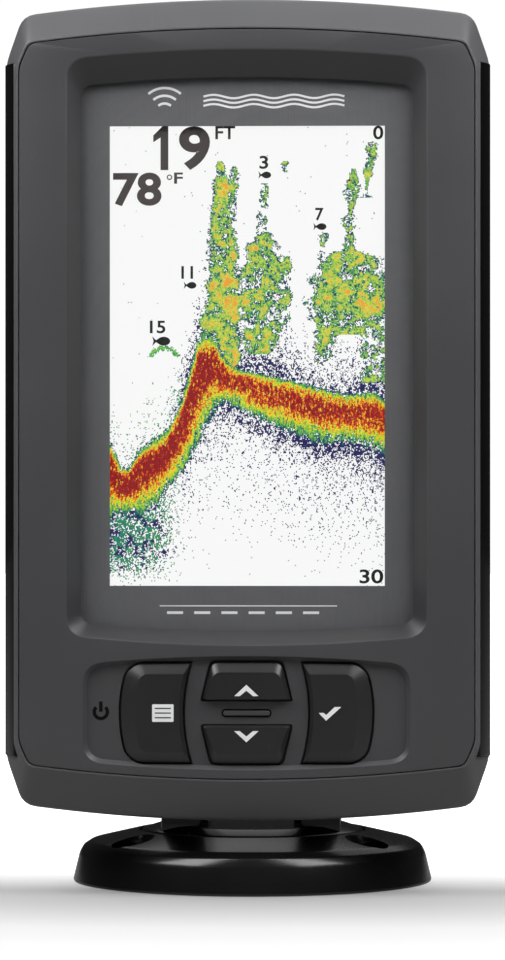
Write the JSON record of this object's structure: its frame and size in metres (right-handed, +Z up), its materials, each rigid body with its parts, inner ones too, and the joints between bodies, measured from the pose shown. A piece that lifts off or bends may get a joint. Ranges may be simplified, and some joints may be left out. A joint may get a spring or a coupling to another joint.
{
  "type": "fish finder",
  "caption": "Portrait sonar display head with a sealed case, sprung keys and rear sockets, on a mount that tilts and swivels.",
  "frame": {"origin": "centre of the base's underside, on the swivel axis", "axes": "+Z up along the swivel axis, the screen faces -Y, +X is to the right of someone facing the screen"},
  "size_m": [0.1, 0.0796, 0.1846],
  "materials": {
    "mount_plastic": "satin black moulded plastic",
    "washer_nylon": "natural nylon",
    "steel": "passivated stainless steel",
    "knob_plastic": "black moulded plastic with a fine grain",
    "stud_brass": "turned brass thread",
    "insert_brass": "turned brass",
    "black_rubber": "black rubber friction disc",
    "rear_plastic": "dark grey moulded plastic with a fine grain",
    "case_plastic": "dark grey moulded plastic with a satin face",
    "face_plastic": "dark grey satin face plate",
    "seal_rubber": "silicone rubber cord seal",
    "trim_gloss": "piano black side trim",
    "lens_clear": "clear hard-coated lens",
    "mask_print": "grey print on the lens's back",
    "black_foam": "closed-cell foam",
    "screen": "lit liquid crystal screen with a sonar chart",
    "light_guide": "white light guide",
    "frame_steel": "folded steel sheet",
    "flex_film": "amber polyimide ribbon",
    "key_plastic": "soft-touch black keys with white marks",
    "silicone": "grey silicone",
    "contact_gold": "gold-plated contact",
    "circuit_board": "green solder mask with copper tracks",
    "chip_plastic": "black moulded compound",
    "can_steel": "tinned steel sheet",
    "ferrite": "sintered ferrite",
    "capacitor_sleeve": "blue shrink sleeve",
    "socket_plastic": "black glass-filled plastic"
  },
  "bodies": {
    "base": {"mount_base": "mount_plastic"},
    "yoke": {"swivel_yoke": "mount_plastic", "swivel_retainer": "steel", "retainer_screws": "steel", "friction_washer": "washer_nylon"},
    "head": {"rear_housing": "rear_plastic", "front_housing": "case_plastic", "housing_seal": "seal_rubber", "housing_screws": "steel", "tilt_inserts": "insert_brass", "tilt_washers": "black_rubber", "left_trim": "trim_gloss", "right_trim": "trim_gloss", "front_bezel": "face_plastic", "display_lens": "lens_clear", "lens_mask": "mask_print", "lens_gasket": "black_foam", "lcd_panel": "screen", "backlight_panel": "light_guide", "lcd_frame": "frame_steel", "display_screws": "steel", "lcd_flex": "flex_film", "menu_dome": "silicone", "up_dome": "silicone", "down_dome": "silicone", "enter_dome": "silicone", "keypad_membrane": "silicone", "contact_pads": "contact_gold", "keypad_board": "circuit_board", "keypad_flex": "flex_film", "main_board": "circuit_board", "board_screws": "steel", "processor_chip": "chip_plastic", "shield_can": "can_steel", "pulse_transformer": "ferrite", "capacitors": "capacitor_sleeve", "piezo_buzzer": "chip_plastic", "power_socket": "socket_plastic", "transducer_socket": "socket_plastic", "power_pins": "contact_gold", "transducer_pins": "contact_gold", "socket_seals": "seal_rubber"},
    "left_knob": {"left_knob": "knob_plastic", "left_stud": "stud_brass"},
    "right_knob": {"right_knob": "knob_plastic", "right_stud": "stud_brass"},
    "menu_key": {"menu_key": "key_plastic"},
    "up_key": {"up_key": "key_plastic"},
    "down_key": {"down_key": "key_plastic"},
    "enter_key": {"enter_key": "key_plastic"}
  },
  "joints": [
    {"name": "swivel", "type": "hinge", "parent": "base", "child": "yoke", "pos_m": [0, 0, 0], "axis": [0, 0, 1], "range_deg": [-180, 180]},
    {"name": "tilt", "type": "hinge", "parent": "yoke", "child": "head", "pos_m": [0, 0, 0.058], "axis": [-1, 0, 0], "range_deg": [-6, 60]},
    {"name": "left_knob_turn", "type": "hinge", "parent": "head", "child": "left_knob", "pos_m": [0, 0, 0.058], "axis": [-1, 0, 0], "continuous": true},
    {"name": "right_knob_turn", "type": "hinge", "parent": "head", "child": "right_knob", "pos_m": [0, 0, 0.058], "axis": [1, 0, 0], "continuous": true},
    {"name": "menu_key_press", "type": "slide", "parent": "head", "child": "menu_key", "axis": [0, 1, 0], "range_m": [0, 0.0008], "stiffness_N_per_m": 600, "springref_m": -0.0005, "deforming": ["menu_dome"]},
    {"name": "up_key_press", "type": "slide", "parent": "head", "child": "up_key", "axis": [0, 1, 0], "range_m": [0, 0.0008], "stiffness_N_per_m": 600, "springref_m": -0.0005, "deforming": ["up_dome"]},
    {"name": "down_key_press", "type": "slide", "parent": "head", "child": "down_key", "axis": [0, 1, 0], "range_m": [0, 0.0008], "stiffness_N_per_m": 600, "springref_m": -0.0005, "deforming": ["down_dome"]},
    {"name": "enter_key_press", "type": "slide", "parent": "head", "child": "enter_key", "axis": [0, 1, 0], "range_m": [0, 0.0008], "stiffness_N_per_m": 600, "springref_m": -0.0005, "deforming": ["enter_dome"]}
  ]
}
